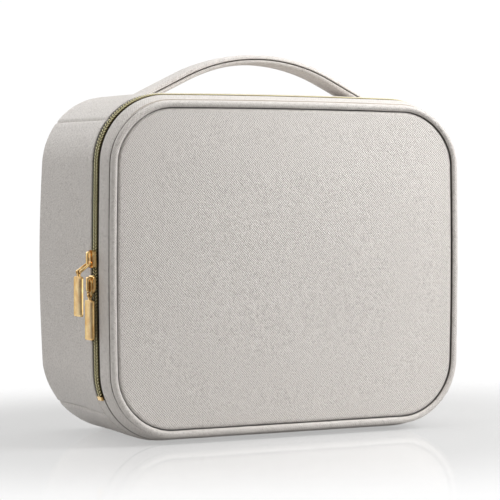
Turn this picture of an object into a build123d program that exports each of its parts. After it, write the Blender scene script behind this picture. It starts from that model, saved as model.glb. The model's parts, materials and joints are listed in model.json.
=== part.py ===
from build123d import *
from math import cos, radians, sin, sqrt, tan
import os

os.makedirs("parts", exist_ok=True)

# The case stands on its bottom: X across, -Y to the lid's front, +Z up, origin at the
# middle of the bottom face.  All sizes are millimetres.

# overall shape of the case, as seen from the front
case_width = 258.0
case_height = 222.0
case_depth = 110.0
corner_radius = 46.0
side_bow = 2.2
top_bow = 1.5

# sheet goods
leather = 1.3
tape = 0.6
foam = 3.5
lining = 0.7
lid_board_thick = 3.0

# where the lid meets the case
zip_line_back = 19.5
zip_opening = 9.8
zip_end_height = 28.0
tape_width = 9.5
foam_setback = 7.0

# zipper chain, one half each side of the zip line
chain_gap = 0.9
chain_width = 5.6
chain_thick = 1.6
stop_height = 2.5

# piping round the front panel
piping_diameter = 4.5
piping_inset = 3.2

# seams across the gusset, where the top and bottom panels meet the side panels
top_seam_drop = 18.0
bottom_seam_height = 18.0
back_edge_round = 7.0

# carrying handle
handle_span = 157.0
handle_rise = 24.5
handle_leg_angle = 26.0
strap_width = 20.0
strap_thick = 5.6
strap_core_width = 16.4
strap_core_thick = 2.6
handle_tilt = 20.0
handle_clear = 0.5
anchor_length = 26.0
anchor_width = 26.0
anchor_thick = 1.5

# padded dividers
divider_thick = 6.0
divider_front_gap = 13.0
divider_gap = 0.5
long_divider_height = 108.0
upper_divider_x = 41.0

# fittings inside the lid
sleeve_width = 180.0
sleeve_low = 24.0
sleeve_high = 112.0
sleeve_thick = 1.8
band_low = 146.0
band_high = 162.0
band_thick = 1.6

# zipper sliders and their pulls
slider_length = 11.0
slider_width = 8.6
slider_plate = 1.2
slider_top_clear = 0.2
slider_under_clear = 0.9
web_thick = 0.44
web_length = 2.5
lip_thick = 0.6
bridge_width = 2.4
bridge_hole = 2.15
bridge_bar = 1.1
bridge_post = 1.5
upper_slider_height = 116.8
lower_slider_height = 101.0
link_bar = 1.5
link_pitch = 9.4
link_window = 3.8
upper_link_lean = 53.0
pin_clear = 0.09
eye_wall = 0.9
plate_width = 11.0
plate_length = 25.0
plate_thick = 2.0

# worked-out places
front_y = -case_depth / 2
back_y = case_depth / 2
zip_y = front_y + zip_line_back
lid_edge_y = zip_y - zip_opening / 2
case_edge_y = zip_y + zip_opening / 2
piping_y = front_y + piping_diameter / 2
piping_back_y = front_y + piping_diameter
panel_inset = piping_inset + piping_diameter
wall_inner = leather + foam
top_seam_height = case_height - top_seam_drop
side_x = -case_width / 2 - side_bow
reach = 4 * case_width


def outline(inset=0.0):
    """The case's outline seen from the front, moved inwards by inset."""
    half = case_width / 2
    shoulder = case_height - top_bow
    side_radius = ((shoulder / 2) ** 2 + side_bow**2) / (2 * side_bow)
    top_radius = (half**2 + top_bow**2) / (2 * top_bow)
    side_centre = half + side_bow - side_radius
    face = Pos(0, inset + reach / 2) * Rectangle(reach, reach)
    face = face & (Pos(side_centre, shoulder / 2) * Circle(side_radius - inset))
    face = face & (Pos(-side_centre, shoulder / 2) * Circle(side_radius - inset))
    face = face & (Pos(0, case_height - top_radius) * Circle(top_radius - inset))
    return fillet(face.vertices(), corner_radius - inset)


def slab(inset, y_low, y_high):
    """A plate with the case's outline, standing between two depths."""
    plane = Plane(origin=(0, y_high, 0), x_dir=(1, 0, 0), z_dir=(0, -1, 0))
    return extrude(plane * outline(inset), amount=y_high - y_low)


def rounded_slab(inset, y_low, y_high):
    """A plate whose back rim is rounded, so that nested ones keep an even wall."""
    shape = slab(inset, y_low, y_high)
    rim = shape.faces().sort_by(Axis.Y)[-1].edges()
    return fillet(rim, back_edge_round - inset)


def ring(inset_out, inset_in, y_low, y_high):
    """A band that follows the outline all the way round."""
    return slab(inset_out, y_low, y_high) - slab(inset_in, y_low, y_high)


def between(shape, z_low, z_high):
    """The part of a shape between two heights."""
    block = Pos(0, 0, (z_low + z_high) / 2) * Box(reach, reach, z_high - z_low)
    return shape & block


def top_level(x):
    """Height of the bowed top at this distance from the middle."""
    return case_height - top_bow * (2 * x / case_width) ** 2


def side_of(shape, sign):
    """The part of a shape left (-1) or right (+1) of the middle."""
    return shape & (Pos(sign * reach / 4, 0, 0) * Box(reach / 2, reach, reach))


def block(x_low, x_high, y_low, y_high, z_low, z_high):
    """A plain box from its lowest and highest corners."""
    centre = Pos((x_low + x_high) / 2, (y_low + y_high) / 2, (z_low + z_high) / 2)
    return centre * Box(x_high - x_low, y_high - y_low, z_high - z_low)


def save(shape, node):
    """Write one sub-part."""
    export_step(shape, "parts/" + node + ".step")


# ---- leather shell of the case ----

def case_leather():
    shell = rounded_slab(0, case_edge_y, back_y)
    hollow = rounded_slab(leather, case_edge_y - leather, back_y - leather)
    shell = shell - hollow
    flat_back = slab(back_edge_round, back_y - back_edge_round, back_y + leather)
    save(shell & flat_back, "back_panel")
    band = shell - flat_back
    sides = between(band, bottom_seam_height, top_seam_height)
    top = between(band, top_seam_height, reach / 4)
    slot_x = handle_span / 2 - strap_thick / 2
    for sign in (-1, 1):
        top = top - handle_slot(sign, slot_x)
    save(top, "top_gusset")
    save(between(band, -reach / 4, bottom_seam_height), "bottom_gusset")
    save(side_of(sides, -1), "side_gusset_left")
    save(side_of(sides, 1), "side_gusset_right")


def handle_slot(sign, slot_x):
    """The slot in the top where the strap's end goes in."""
    half = strap_thick / 2
    return Pos(sign * slot_x, 0, case_height) * Box(2 * half, strap_width, 4 * (leather + foam))


# ---- foam, boards and lining ----

def case_foam():
    start = zip_y + foam_setback
    band = rounded_slab(leather, start, back_y - leather)
    band = band - slab(wall_inner, start - foam, back_y)
    rebate = ring(leather, leather + tape, start, zip_y + tape_width)
    band = band - between(rebate, zip_end_height - tape_width, reach / 4)
    sides = between(band, bottom_seam_height, top_seam_height)
    top = between(band, top_seam_height, reach / 4)
    for sign in (-1, 1):
        top = top - handle_anchor(sign)
    save(top, "top_stiffener")
    save(between(band, -reach / 4, bottom_seam_height), "bottom_stiffener")
    save(side_of(sides, -1), "side_stiffener_left")
    save(side_of(sides, 1), "side_stiffener_right")
    inner = slab(wall_inner, back_y - leather - foam, back_y)
    save(inner & rounded_slab(leather, start, back_y - leather), "back_board")


def case_lining():
    start = zip_y + foam_setback
    back = back_y - leather - foam
    save(ring(wall_inner, wall_inner + lining, start, back), "wall_lining")
    save(slab(wall_inner + lining, back - lining, back), "back_lining")


# ---- zipper ----

def zipper_halves():
    tape_low = zip_end_height - tape_width + 2
    half_gap = chain_gap / 2
    half_chain = chain_width / 2
    spans = {
        "case": (zip_y + half_gap, zip_y + tape_width, zip_y + half_gap, zip_y + half_chain),
        "lid": (zip_y - tape_width, zip_y - half_gap, zip_y - half_chain, zip_y - half_gap),
    }
    for name, (tape_front, tape_back, coil_front, coil_back) in spans.items():
        strip = ring(leather, leather + tape, tape_front, tape_back)
        save(between(strip, tape_low, reach / 4), "zipper_tape_" + name)
        coil = slab(leather - chain_thick, coil_front, coil_back)
        coil = coil - slab(leather, coil_front, coil_back)
        save(between(coil, zip_end_height + stop_height, reach / 4), "zipper_coil_" + name)


def zipper_stops():
    half = chain_width / 2
    whole = slab(leather - chain_thick, zip_y - half, zip_y + half)
    whole = whole - slab(leather, zip_y - half, zip_y + half)
    clamps = between(whole, zip_end_height, zip_end_height + stop_height)
    save(side_of(clamps, -1), "zipper_stop_left")
    save(side_of(clamps, 1), "zipper_stop_right")


def hinge_strips():
    strip = ring(0, leather, lid_edge_y, case_edge_y)
    save(between(strip, -reach / 4, zip_end_height), "hinge_gusset")
    inner = ring(wall_inner, wall_inner + lining, zip_y - foam_setback, zip_y + foam_setback)
    save(between(inner, -reach / 4, zip_end_height), "hinge_lining")


# ---- lid ----

def lid_shell():
    save(slab(panel_inset, piping_y - leather, piping_y), "lid_panel")
    save(slab(panel_inset, piping_y, piping_y + lid_board_thick), "lid_board")
    cord = ring(piping_inset, panel_inset, front_y, piping_back_y)
    cord = fillet(cord.faces().filter_by(Axis.Y).edges(), 0.46 * piping_diameter)
    save(cord, "front_piping")
    save(ring(0, leather, piping_back_y, lid_edge_y), "lid_gusset")
    end = zip_y - foam_setback
    band = ring(leather, wall_inner, piping_back_y, end)
    rebate = ring(leather, leather + tape, zip_y - tape_width, end)
    save(band - between(rebate, zip_end_height - tape_width, reach / 4), "lid_stiffener")
    sheet_y = piping_y + lid_board_thick
    save(slab(wall_inner, sheet_y, sheet_y + lining), "lid_lining")
    save(ring(wall_inner, wall_inner + lining, sheet_y + lining, end), "lid_wall_lining")


def lid_fittings():
    start = piping_y + lid_board_thick + lining
    half = sleeve_width / 2
    sleeve = block(-half, half, start, start + sleeve_thick, sleeve_low, sleeve_high)
    save(fillet(sleeve.edges().filter_by(Axis.Y), 6), "brush_sleeve")
    band = block(-half, half, start, start + band_thick, band_low, band_high)
    save(fillet(band.edges().filter_by(Axis.Y), 1), "brush_band")


# ---- handle ----

def handle_centre_line():
    """Two straight legs and the arc between them, from end to end."""
    lean = radians(handle_leg_angle)
    half = handle_span / 2
    # the arc and a leg together give the half span and the rise
    leg = (handle_rise - half * (1 - cos(lean)) / sin(lean)) / (
        sin(lean) - cos(lean) * (1 - cos(lean)) / sin(lean)
    )
    radius = (half - leg * cos(lean)) / sin(lean)
    foot_z = top_level(half)
    turn_z = foot_z + leg * sin(lean)
    turn_x = radius * sin(lean)
    crown = (0, foot_z + handle_rise)
    return foot_z, leg, radius, turn_x, turn_z, crown


def strap(width, thick):
    """A strap of this section along the handle's centre line."""
    foot_z, leg, radius, turn_x, turn_z, crown = handle_centre_line()
    lean = radians(handle_leg_angle)
    extra = 8.0
    out_x = handle_span / 2 + extra * cos(lean)
    out_z = foot_z - extra * sin(lean)
    line = (
        Line((-out_x, out_z), (-turn_x, turn_z))
        + ThreePointArc((-turn_x, turn_z), crown, (turn_x, turn_z))
        + Line((turn_x, turn_z), (out_x, out_z))
    )
    line = Plane.XZ * line
    start = Plane(origin=line @ 0, z_dir=line % 0, x_dir=(0, 1, 0))
    section = start * RectangleRounded(width, thick, 0.42 * thick)
    return sweep(section, path=line)


def handle_parts():
    foot_z = top_level(handle_span / 2 - strap_thick)
    whole = strap(strap_width, strap_thick)
    core = strap(strap_core_width, strap_core_thick)
    room = handle_room(foot_z + handle_clear)
    save((whole - core) & room, "handle_strap")
    save(core & room, "handle_core")


def handle_room(z_low):
    """The space above the top, with room under the strap's edges for its tilt."""
    rise = (strap_width / 2) * tan(radians(handle_tilt)) * 1.1
    points = [
        (0, z_low),
        (strap_width, z_low + 2 * rise),
        (strap_width, z_low + 4 * handle_rise),
        (-strap_width, z_low + 4 * handle_rise),
        (-strap_width, z_low + 2 * rise),
    ]
    face = make_face(Polyline(*points, close=True))
    plane = Plane(origin=(-case_width, 0, 0), x_dir=(0, 1, 0), z_dir=(1, 0, 0))
    return extrude(plane * face, amount=2 * case_width)


def handle_anchor(sign):
    """A plate under the top leather that the strap's end is sewn to."""
    low = handle_span / 2 - anchor_length + strap_thick / 2
    strip = ring(leather, leather + anchor_thick, -anchor_width / 2, anchor_width / 2)
    inner = block(low, low + anchor_length, -anchor_width, anchor_width, case_height / 2, 2 * case_height)
    plate = strip & (inner if sign > 0 else mirror(inner, about=Plane.YZ))
    return plate


def handle_root(sign):
    """The anchor plate with the strap's end standing up through the slot."""
    slot_x = handle_span / 2 - strap_thick / 2
    through = handle_slot(sign, slot_x) & ring(0, leather, -strap_width, strap_width)
    return handle_anchor(sign) + through


# ---- dividers ----

def divider(x_low, x_high, z_low, z_high):
    """A padded board from the back lining towards the lid, clear of the walls."""
    y_high = back_y - leather - foam - lining
    shape = block(x_low, x_high, zip_y + divider_front_gap, y_high, z_low, z_high)
    shape = shape & slab(wall_inner + lining + divider_gap, front_y, back_y)
    front = shape.faces().sort_by(Axis.Y)[0].edges()
    return fillet(front, 0.4 * divider_thick)


def dividers():
    half = divider_thick / 2
    middle = long_divider_height
    save(divider(-case_width, case_width, middle - half, middle + half), "divider_long")
    low = middle - half - divider_gap
    high = middle + half + divider_gap
    save(divider(-half, half, 0, low), "divider_lower")
    left = -upper_divider_x
    right = upper_divider_x
    save(divider(left - half, left + half, high, case_height), "divider_upper_left")
    save(divider(right - half, right + half, high, case_height), "divider_upper_right")


# ---- sliders and pulls ----
# A slider is made at the origin: X outwards from the case side, Y along the case's depth
# with the body side at -Y, Z up.  It is then turned to face the left side of the case.

def out_of_case(shape, height):
    """Put a slider piece on the left side at this height."""
    return Pos(side_x, zip_y, height) * (Rot(0, 0, 180) * shape)


def slider_levels():
    """Distances out from the case side: chain top, plate, hinge line and bridge."""
    top = chain_thick - leather + slider_top_clear
    plate_top = top + slider_plate
    hinge = plate_top + bridge_hole / 2
    return top, plate_top, hinge


def slider_body():
    top, plate_top, hinge = slider_levels()
    under = -leather - tape - slider_under_clear
    half_w = slider_width / 2
    half_l = slider_length / 2
    upper = block(top, plate_top, -half_w, half_w, -half_l, half_l)
    upper = fillet(upper.edges().filter_by(Axis.X), 2.2)
    lower = block(under - slider_plate, under, -half_w, half_w, -half_l, half_l)
    lower = fillet(lower.edges().filter_by(Axis.X), 2.2)
    web = block(under, top, -web_thick / 2, web_thick / 2, half_l - web_length, half_l)
    lip_y = chain_width / 2 + 0.15
    lip = block(-0.9 * leather, top, -lip_y - lip_thick, -lip_y, 2.2 - half_l, half_l - 2.2)
    half_b = bridge_width / 2
    hole_top = plate_top + bridge_hole
    post_reach = half_l - 0.6
    low_post = block(plate_top, hole_top, -half_b, half_b, -post_reach, bridge_post - post_reach)
    high_post = block(plate_top, hole_top, -half_b, half_b, post_reach - bridge_post, post_reach)
    bar = block(hole_top, hole_top + bridge_bar, -half_b, half_b, -post_reach, post_reach)
    bridge = low_post + high_post + bar
    rim = bridge.faces().sort_by(Axis.X)[-1].edges().filter_by(Axis.Y)
    bridge = fillet(rim, 0.8)
    return upper + lower + web + lip + bridge


def hinge_drop():
    """How far from the slider's middle, towards its nose, the link hangs in the bridge."""
    return slider_length / 2 - 0.6 - bridge_post - link_bar / 2 - 0.35


def link():
    """A flat ring hanging down from a bar at the origin, lying in the YZ plane."""
    half = link_bar / 2
    width = link_window + 2 * link_bar
    length = link_pitch + link_bar
    outer = Pos(0, 0, -link_pitch / 2) * Box(link_bar, width, length)
    outer = fillet(outer.edges().filter_by(Axis.X), 1.6)
    window = Pos(0, 0, -link_pitch / 2) * Box(2 * link_bar, link_window, link_pitch - link_bar)
    ring_shape = outer - window
    round_edges = ring_shape.faces().filter_by(Axis.X).edges()
    return fillet(round_edges, 0.8 * half)


def pull_plate():
    """A plate hanging from an eye round a bar at the origin."""
    reach_down = link_bar / 2 + pin_clear
    eye_radius = reach_down + eye_wall
    eye_width = link_window - 0.8
    eye = Rot(90, 0, 0) * Cylinder(eye_radius, eye_width)
    neck_low = -eye_radius - 1.2
    neck = block(-plate_thick / 2, plate_thick / 2, -eye_width / 2, eye_width / 2, neck_low, 0)
    top = neck_low + 0.2
    half_w = plate_width / 2
    half_t = plate_thick / 2
    plate = block(-half_t, half_t, -half_w, half_w, top - plate_length, top)
    plate = fillet(plate.edges().filter_by(Axis.X), 1.4)
    plate = fillet(plate.faces().filter_by(Axis.X).edges(), 0.4)
    hole = Rot(90, 0, 0) * Cylinder(reach_down, 2 * eye_width)
    return eye + neck + plate - hole


def sliders():
    top, plate_top, hinge = slider_levels()
    # the two noses face each other, because the chain opens between the sliders
    nose_up = slider_body()
    nose_down = mirror(nose_up, about=Plane.XY)
    for name, body, height, nose, lean in (
        ("upper", nose_down, upper_slider_height, -1, upper_link_lean),
        ("lower", nose_up, lower_slider_height, 1, 0.0),
    ):
        hinge_height = height + nose * hinge_drop()
        save(out_of_case(body, height), name + "_slider_body")
        ring_shape = Pos(hinge, 0, 0) * (Rot(0, -lean, 0) * link())
        save(out_of_case(ring_shape, hinge_height), name + "_pull_link")
        end_x = hinge + link_pitch * sin(radians(lean))
        end_z = hinge_height - link_pitch * cos(radians(lean))
        save(out_of_case(Pos(end_x, 0, 0) * pull_plate(), end_z), name + "_pull_plate")
        print(name, "hinge at x", side_x - hinge, "z", hinge_height, "eye at", side_x - end_x, end_z)


case_leather()
case_foam()
case_lining()
zipper_halves()
zipper_stops()
hinge_strips()
lid_shell()
lid_fittings()
handle_parts()
save(handle_root(-1), "handle_anchor_left")
save(handle_root(1), "handle_anchor_right")
dividers()
sliders()
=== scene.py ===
import json
import math

import bpy
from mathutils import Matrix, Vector

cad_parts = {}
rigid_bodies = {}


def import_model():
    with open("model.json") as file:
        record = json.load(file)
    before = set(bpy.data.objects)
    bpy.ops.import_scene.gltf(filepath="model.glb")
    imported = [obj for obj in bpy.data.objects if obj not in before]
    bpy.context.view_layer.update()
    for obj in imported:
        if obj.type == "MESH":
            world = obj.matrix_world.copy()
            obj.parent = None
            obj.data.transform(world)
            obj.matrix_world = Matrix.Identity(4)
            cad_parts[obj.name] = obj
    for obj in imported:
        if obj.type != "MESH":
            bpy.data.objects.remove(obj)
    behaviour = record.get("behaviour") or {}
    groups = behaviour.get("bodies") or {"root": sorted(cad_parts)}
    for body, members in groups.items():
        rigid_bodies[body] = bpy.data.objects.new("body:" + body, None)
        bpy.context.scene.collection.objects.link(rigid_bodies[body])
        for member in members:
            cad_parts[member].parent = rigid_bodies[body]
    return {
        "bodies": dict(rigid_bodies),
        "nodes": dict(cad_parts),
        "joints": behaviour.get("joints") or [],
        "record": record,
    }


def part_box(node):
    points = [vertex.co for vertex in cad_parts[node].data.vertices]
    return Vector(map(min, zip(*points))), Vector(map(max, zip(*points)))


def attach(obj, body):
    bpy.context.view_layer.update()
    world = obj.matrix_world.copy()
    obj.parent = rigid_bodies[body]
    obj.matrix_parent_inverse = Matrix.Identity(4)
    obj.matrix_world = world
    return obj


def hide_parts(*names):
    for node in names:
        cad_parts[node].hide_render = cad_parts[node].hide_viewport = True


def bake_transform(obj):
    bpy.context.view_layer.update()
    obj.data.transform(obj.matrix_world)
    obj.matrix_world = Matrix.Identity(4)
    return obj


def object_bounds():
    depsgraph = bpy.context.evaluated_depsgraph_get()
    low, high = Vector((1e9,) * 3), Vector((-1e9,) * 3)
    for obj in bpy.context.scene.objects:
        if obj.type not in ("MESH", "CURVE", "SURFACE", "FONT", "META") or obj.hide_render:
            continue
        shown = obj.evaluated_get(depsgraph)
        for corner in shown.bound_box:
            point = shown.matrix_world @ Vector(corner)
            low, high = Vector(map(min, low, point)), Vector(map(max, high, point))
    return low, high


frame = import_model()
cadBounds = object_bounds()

mm = 0.001


def deselectAll():
    if bpy.context.object and bpy.context.object.mode != "OBJECT":
        bpy.ops.object.mode_set(mode="OBJECT")
    bpy.ops.object.select_all(action="DESELECT")


def pick(obj):
    deselectAll()
    obj.select_set(True)
    bpy.context.view_layer.objects.active = obj


def newest(name):
    obj = bpy.context.object
    obj.name = name
    obj.data.name = name
    return obj


def settle(obj):
    # leaves the object at the origin, unturned and unscaled
    pick(obj)
    bpy.ops.object.transform_apply(location=True, rotation=True, scale=True)


def addModifier(obj, kind, **settings):
    pick(obj)
    modifier = obj.modifiers.new(kind.title(), kind)
    for key, value in settings.items():
        setattr(modifier, key, value)
    bpy.ops.object.modifier_apply(modifier=modifier.name)


def smoothShade(obj, angle=35):
    pick(obj)
    bpy.ops.object.shade_smooth_by_angle(angle=math.radians(angle))


def mergeDoubles(obj, distance=0.00002, outside=False):
    pick(obj)
    bpy.ops.object.mode_set(mode="EDIT")
    bpy.ops.mesh.select_all(action="SELECT")
    bpy.ops.mesh.remove_doubles(threshold=distance)
    if outside:
        bpy.ops.mesh.normals_make_consistent(inside=False)
    bpy.ops.object.mode_set(mode="OBJECT")


def joinAll(objs, name):
    deselectAll()
    for obj in objs:
        obj.select_set(True)
    bpy.context.view_layer.objects.active = objs[0]
    bpy.ops.object.join()
    return newest(name)


def finishPiece(obj, body, material, slotName, *nodes):
    obj.data.materials.clear()
    obj.data.materials.append(material)
    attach(obj, body)
    if nodes:
        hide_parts(*nodes)
    return obj


class Wire:
    # a socket or a number that can be used in plain expressions
    def __init__(self, tree, socket):
        self.tree = tree
        self.socket = socket

    def math(self, operation, a, b=None):
        node = self.tree.nodes.new("ShaderNodeMath")
        node.operation = operation
        for index, value in enumerate((a, b)):
            if isinstance(value, Wire):
                self.tree.links.new(value.socket, node.inputs[index])
            elif value is not None:
                node.inputs[index].default_value = value
        return Wire(self.tree, node.outputs[0])

    def __add__(self, other):
        return self.math("ADD", self, other)

    def __radd__(self, other):
        return self.math("ADD", other, self)

    def __sub__(self, other):
        return self.math("SUBTRACT", self, other)

    def __rsub__(self, other):
        return self.math("SUBTRACT", other, self)

    def __mul__(self, other):
        return self.math("MULTIPLY", self, other)

    def __rmul__(self, other):
        return self.math("MULTIPLY", other, self)

    def sine(self):
        return self.math("SINE", self)

    def power(self, other):
        return self.math("POWER", self, other)

    def largest(self, other):
        return self.math("MAXIMUM", self, other)


class Nodes:
    # one method that makes any node in a tree, and short names for the common ones
    def __init__(self, tree):
        self.tree = tree

    def node(self, kind, settings=None, output=0, **inputs):
        made = self.tree.nodes.new(kind)
        for key, value in (settings or {}).items():
            if key == "stops":
                marks = made.color_ramp.elements
                while len(marks) < len(value):
                    marks.new(0.5)
                for mark, (place, colour) in zip(marks, value):
                    mark.position = place
                    mark.color = (*colour, 1)
            else:
                setattr(made, key, value)
        for key, value in inputs.items():
            socket = made.inputs[key.replace("_", " ")]
            if isinstance(value, Wire):
                self.tree.links.new(value.socket, socket)
            else:
                socket.default_value = value
        return Wire(self.tree, made.outputs[output])

    def place(self, kind="Object"):
        return self.node("ShaderNodeTexCoord", output=kind)

    def axes(self, vector):
        split = self.tree.nodes.new("ShaderNodeSeparateXYZ")
        self.tree.links.new(vector.socket, split.inputs[0])
        return [Wire(self.tree, split.outputs[i]) for i in range(3)]

    def noise(self, vector, scale, detail=2.0, roughness=0.5):
        return self.node("ShaderNodeTexNoise", Vector=vector, Scale=scale, Detail=detail, Roughness=roughness)

    def colours(self, factor, stops):
        return self.node("ShaderNodeValToRGB", {"stops": stops}, Fac=factor)

    def ramp(self, value, start, end, low, high):
        return self.node("ShaderNodeMapRange", {"interpolation_type": "SMOOTHSTEP"}, Value=value,
                         From_Min=start, From_Max=end, To_Min=low, To_Max=high)

    def mixShaders(self, share, first, second):
        mix = self.tree.nodes.new("ShaderNodeMixShader")
        for socket, wire in zip(mix.inputs, (share, first, second)):
            self.tree.links.new(wire.socket, socket)
        return Wire(self.tree, mix.outputs[0])

    def show(self, wire, outputName):
        self.tree.links.new(wire.socket, self.tree.nodes[outputName].inputs[0])


class Finish(Nodes):
    # a new material, with constants set on its shader
    def __init__(self, name, **constants):
        self.material = bpy.data.materials.new(name)
        self.material.use_nodes = True
        super().__init__(self.material.node_tree)
        self.shader = self.tree.nodes["Principled BSDF"]
        for key, value in constants.items():
            self.shader.inputs[key.replace("_", " ")].default_value = value

    def feed(self, socket, wire):
        self.tree.links.new(wire.socket, self.shader.inputs[socket])

    def bump(self, height, distance, strength=1.0):
        self.feed("Normal", self.node("ShaderNodeBump", Height=height, Distance=distance, Strength=strength))


def srgb(r, g, b):
    def linear(v):
        v /= 255
        return v / 12.92 if v <= 0.04045 else ((v + 0.055) / 1.055) ** 2.4
    return (linear(r), linear(g), linear(b))


# the darkest colour is painted shade for the seam grooves; the other three are the leather's own grain and
# tone
leatherLook = {
    "pale": (224, 219, 214), "mid": (211, 206, 201), "deep": (188, 182, 177), "seamShade": (84, 78, 70),
    "grain": 1.12 * mm, "relief": 0.42 * mm, "wander": 7, "wanderScale": 420,
    "speckleScale": 780, "fineScale": 2600, "cloudScale": 18,
    "ridgeShare": 0.34, "speckleShare": 0.60, "cloudShare": 0.06, "seamShadeShare": 0.8,
}


def makeLeather(name, look, paintedLightScale=1.0, seamShades=()):
    # cross-grain: short pressed lines that lean one way, cut by wider ones that lean the other way
    # the seam shades are dark lines along a strip, each at its place across the flat strip and with its
    # width: painted shade in the grooves where pieces meet, on the strap partly its seam line too
    made = Finish(name, Coat_Weight=0.10, Coat_Roughness=0.32, Sheen_Weight=0.10)
    u, v, _ = made.axes(made.place("UV"))
    spot = made.place()
    turn = 2 * math.pi / look["grain"]
    drift = made.noise(spot, look["wanderScale"], 2) * look["wander"]
    lines = ((u * 0.72 + v * 0.69) * turn + drift).sine() * 0.5 + 0.5
    cuts = ((u * 0.80 - v * 0.60) * (turn * 0.83) + drift * 0.8).sine() * 0.5 + 0.5
    speckle = made.noise(spot, look["speckleScale"], 1, 0.4)
    fine = made.noise(spot, look["fineScale"], 2)
    cloudy = made.noise(spot, look["cloudScale"], 4, 0.6)
    ridges = lines * 0.55 + cuts * 0.45
    tone = ridges * look["ridgeShare"] + speckle * look["speckleShare"] + cloudy * look["cloudShare"]
    # darken along each seam: painted shade in its groove
    for at, width in seamShades:
        nearby = 1 - ((v - at) * (1 / width)).power(2)
        tone = tone - nearby.largest(0.0) * look["seamShadeShare"]
    # every colour is scaled for this copy: above one is painted light, below one is painted shade
    tones = [srgb(*[c * paintedLightScale for c in look[key]]) for key in ("seamShade", "deep", "mid", "pale")]
    made.feed("Base Color", made.colours(tone, list(zip((0.06, 0.30, 0.50, 0.72), tones))))
    made.feed("Roughness", 0.50 - ridges * 0.14 + fine * 0.08)
    made.bump(ridges * 0.8 + speckle * 0.9 + fine * 0.2, look["relief"], 0.8)
    return made.material


goldLook = {"bright": (252, 222, 160), "warm": (230, 184, 116), "relief": 0.02 * mm, "cloudScale": 220,
            "hairScale": 2400, "smoothest": 0.07}


def makeGold(name, look):
    made = Finish(name, Metallic=1.0)
    spot = made.place()
    cloudy = made.noise(spot, look["cloudScale"], 3)
    hair = made.noise(spot, look["hairScale"], 2)
    made.feed("Base Color", made.colours(cloudy, [(0.3, srgb(*look["warm"])), (0.7, srgb(*look["bright"]))]))
    made.feed("Roughness", look["smoothest"] + cloudy * 0.08 + hair * 0.04)
    made.bump(cloudy + hair * 0.1, look["relief"], 0.5)
    return made.material


# painted light and shade on the chain: lit tooth tops, shaded flanks, and a dark colour between the turns
chainLook = {"lit": (246, 238, 190), "shaded": (176, 164, 110), "between": (84, 74, 42), "cloudScale": 900}


def makeChain(name, look):
    # olive nylon, with painted light on the top of each tooth and painted shade down its flanks and between
    # the turns
    made = Finish(name, Metallic=0.1, Coat_Weight=0.3, Coat_Roughness=0.2)
    cloudy = made.noise(made.place(), look["cloudScale"], 2)
    _, upward, _ = made.axes(made.place("UV"))
    tone = upward * 0.95 + cloudy * 0.05
    stops = [(0.60, srgb(*look["between"])), (0.70, srgb(*look["shaded"])), (0.82, srgb(*look["lit"]))]
    made.feed("Base Color", made.colours(tone, stops))
    made.feed("Roughness", 0.26 + cloudy * 0.12)
    return made.material


def makeCloth(name, pale, deep, thread, relief, gloss=0.75):
    # a woven cloth: two sets of threads, seen from any side
    made = Finish(name, Roughness=gloss, Sheen_Weight=0.25)
    spot = made.place()
    x, y, z = made.axes(spot)
    turn = 2 * math.pi / thread
    warp = ((x + y * 0.5) * turn).sine()
    weft = ((z + y * 0.5) * turn).sine()
    weave = (warp * weft) * 0.5 + 0.5
    cloudy = made.noise(spot, 60, 3)
    fine = made.noise(spot, 1800, 2)
    tone = weave * 0.5 + cloudy * 0.5
    made.feed("Base Color", made.colours(tone, [(0.25, srgb(*deep)), (0.75, srgb(*pale))]))
    made.feed("Roughness", gloss - 0.1 + fine * 0.2)
    made.bump(weave + fine * 0.5, relief, 0.6)
    return made.material


def makeBoard(name, pale, deep):
    made = Finish(name, Roughness=0.9)
    spot = made.place()
    cells = made.noise(spot, 1500, 2)
    cloudy = made.noise(spot, 50, 3)
    tone = cells * 0.5 + cloudy * 0.5
    made.feed("Base Color", made.colours(tone, [(0.3, srgb(*deep)), (0.7, srgb(*pale))]))
    made.feed("Roughness", 0.82 + cells * 0.15)
    made.bump(cells, 0.12 * mm, 0.7)
    return made.material


# where the dark seam lines fall across the strip, piping and hinge: painted shade in the grooves where these
# pieces meet the next
stripSeamShades = [(1.6 * mm, 0.9 * mm)]
pipingSeamShades = [(1.5 * mm, 1.0 * mm), (10.1 * mm, 0.8 * mm)]
hingeSeamShades = [(1.3 * mm, 0.7 * mm), (10.9 * mm, 0.7 * mm)]
leather = makeLeather("greige_leather", leatherLook)
stripLeather = makeLeather("strip_leather", leatherLook, 1.0, stripSeamShades)
# a slightly darker copy of the leather: painted shade on the piping
pipingLeather = makeLeather("piping_leather", leatherLook, 0.99, pipingSeamShades)
hingeLeather = makeLeather("hinge_leather", leatherLook, 1.0, hingeSeamShades)
gold = makeGold("polished_gold", goldLook)
chain = makeChain("zipper_chain", chainLook)
tapeCloth = makeCloth("zipper_tape", (70, 65, 52), (42, 38, 30), 0.7 * mm, 0.10 * mm)
liningCloth = makeCloth("lining_cloth", (196, 184, 172), (176, 163, 150), 0.9 * mm, 0.06 * mm, 0.5)
dividerCloth = makeCloth("divider_cloth", (206, 195, 184), (186, 174, 162), 1.4 * mm, 0.16 * mm, 0.85)
bindingCloth = makeCloth("binding_cloth", (168, 155, 142), (146, 133, 120), 0.8 * mm, 0.12 * mm, 0.7)
elasticCloth = makeCloth("elastic_cloth", (176, 163, 150), (150, 138, 126), 1.1 * mm, 0.20 * mm, 0.7)
stiffBoard = makeBoard("stiff_board", (88, 88, 90), (64, 64, 66))
print("finishes made")


cameraSetup = {"turn": 27.91, "lift": 2.23, "distance": 1.363, "lens": 146.7, "sensor": 36, "reach": 30,
               "middle": 0.110, "aim": 0.1194, "aside": 0.0020}


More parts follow.
